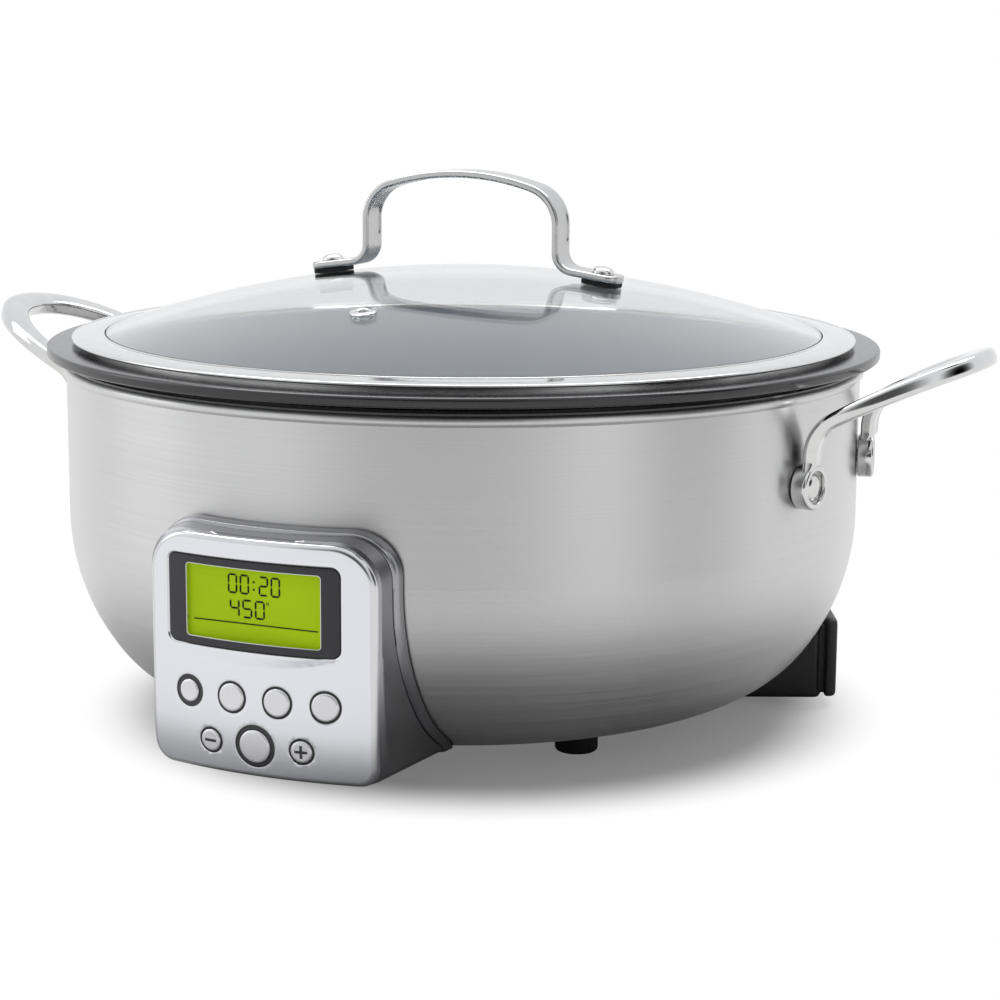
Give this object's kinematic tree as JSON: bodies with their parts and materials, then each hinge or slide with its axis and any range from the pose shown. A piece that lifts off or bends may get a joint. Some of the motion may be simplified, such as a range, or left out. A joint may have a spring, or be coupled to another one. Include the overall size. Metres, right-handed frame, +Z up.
{
  "type": "electric skillet",
  "caption": "Countertop electric skillet with a stainless bowl housing, front control panel, loop side handles, lift-out pan and a loose domed glass lid with a strap handle.",
  "frame": {"origin": "on the bowl's vertical axis, at the floor under the rubber feet", "axes": "+Z up, control panel towards -Y, side handles along +X and -X"},
  "size_m": [0.4566, 0.3712, 0.2295],
  "materials": {
    "brushed_steel": "fine circumferential brushing",
    "polished_steel": "polished",
    "well_steel": "black enamel",
    "cast_aluminium": "machined",
    "element_sheath": "oxidised sheath",
    "zinc_steel": "zinc plated",
    "ceramic": "glazed ceramic",
    "board": "solder mask",
    "black_plastic": "fine moulded grain",
    "white_plastic": "moulded",
    "rubber": "matt",
    "silver_plastic": "satin metallic",
    "bezel_plastic": "smooth",
    "lens": "clear",
    "display": "lit liquid crystal",
    "button_cap": "satin silver",
    "brass_pins": "nickel plated",
    "pan_coating": "charcoal enamel outside, grey ceramic inside",
    "glass": "clear tempered"
  },
  "bodies": {
    "base": {"housing_shell": "brushed_steel", "handle_left": "polished_steel", "handle_right": "polished_steel", "handle_rivets": "polished_steel", "heating_well": "well_steel", "heating_plate": "cast_aluminium", "heating_element": "element_sheath", "plate_standoffs": "zinc_steel", "sensor_guide": "zinc_steel", "sensor_spring": "zinc_steel", "base_cover": "zinc_steel", "base_screws": "zinc_steel", "board_screws": "zinc_steel", "thermal_cutout": "ceramic", "power_board": "board", "control_board": "board", "power_components": "black_plastic", "tact_switches": "black_plastic", "button_rings": "black_plastic", "cord_cleat_left": "black_plastic", "cord_cleat_right": "black_plastic", "inlet_housing": "black_plastic", "power_inlet": "black_plastic", "board_posts": "white_plastic", "rubber_feet": "rubber", "control_gasket": "rubber", "control_housing": "silver_plastic", "display_bezel": "bezel_plastic", "display_lens": "lens", "lcd_module": "display", "inlet_pins": "brass_pins"},
    "button_sear": {"button_sear": "button_cap"},
    "button_menu": {"button_menu": "button_cap"},
    "button_time": {"button_time": "button_cap"},
    "button_temp": {"button_temp": "button_cap"},
    "button_minus": {"button_minus": "button_cap"},
    "button_start": {"button_start": "button_cap"},
    "button_plus": {"button_plus": "button_cap"},
    "sensor": {"sensor_cap": "zinc_steel"},
    "pan": {"cooking_pan": "pan_coating"},
    "lid": {"lid_rim": "polished_steel", "lid_glass": "glass", "lid_vent": "polished_steel", "lid_handle": "polished_steel", "lid_spacers": "black_plastic", "lid_rivets": "polished_steel", "lid_nuts": "zinc_steel"}
  },
  "joints": [
    {"name": "press_sear", "type": "slide", "parent": "base", "child": "button_sear", "axis": [0, 1, 0], "range_m": [0, 0.0008], "stiffness_N_per_m": 1500},
    {"name": "press_menu", "type": "slide", "parent": "base", "child": "button_menu", "axis": [0, 1, 0], "range_m": [0, 0.0008], "stiffness_N_per_m": 1500},
    {"name": "press_time", "type": "slide", "parent": "base", "child": "button_time", "axis": [0, 1, 0], "range_m": [0, 0.0008], "stiffness_N_per_m": 1500},
    {"name": "press_temp", "type": "slide", "parent": "base", "child": "button_temp", "axis": [0, 1, 0], "range_m": [0, 0.0008], "stiffness_N_per_m": 1500},
    {"name": "press_minus", "type": "slide", "parent": "base", "child": "button_minus", "axis": [0, 1, 0], "range_m": [0, 0.0008], "stiffness_N_per_m": 1500},
    {"name": "press_start", "type": "slide", "parent": "base", "child": "button_start", "axis": [0, 1, 0], "range_m": [0, 0.0008], "stiffness_N_per_m": 1500},
    {"name": "press_plus", "type": "slide", "parent": "base", "child": "button_plus", "axis": [0, 1, 0], "range_m": [0, 0.0008], "stiffness_N_per_m": 1500},
    {"name": "pan_lift", "type": "slide", "parent": "base", "child": "pan", "axis": [0, 0, 1], "range_m": [0, 0.15]},
    {"name": "lid_lift", "type": "slide", "parent": "pan", "child": "lid", "axis": [0, 0, 1], "range_m": [0, 0.12]},
    {"name": "sensor_rise", "type": "slide", "parent": "base", "child": "sensor", "axis": [0, 0, 1], "range_m": [0, 0.003], "deforming": ["sensor_spring"]}
  ],
  "couplings": [
    {"joint": "sensor_rise", "follows": "pan_lift", "ratio": 0.02}
  ]
}
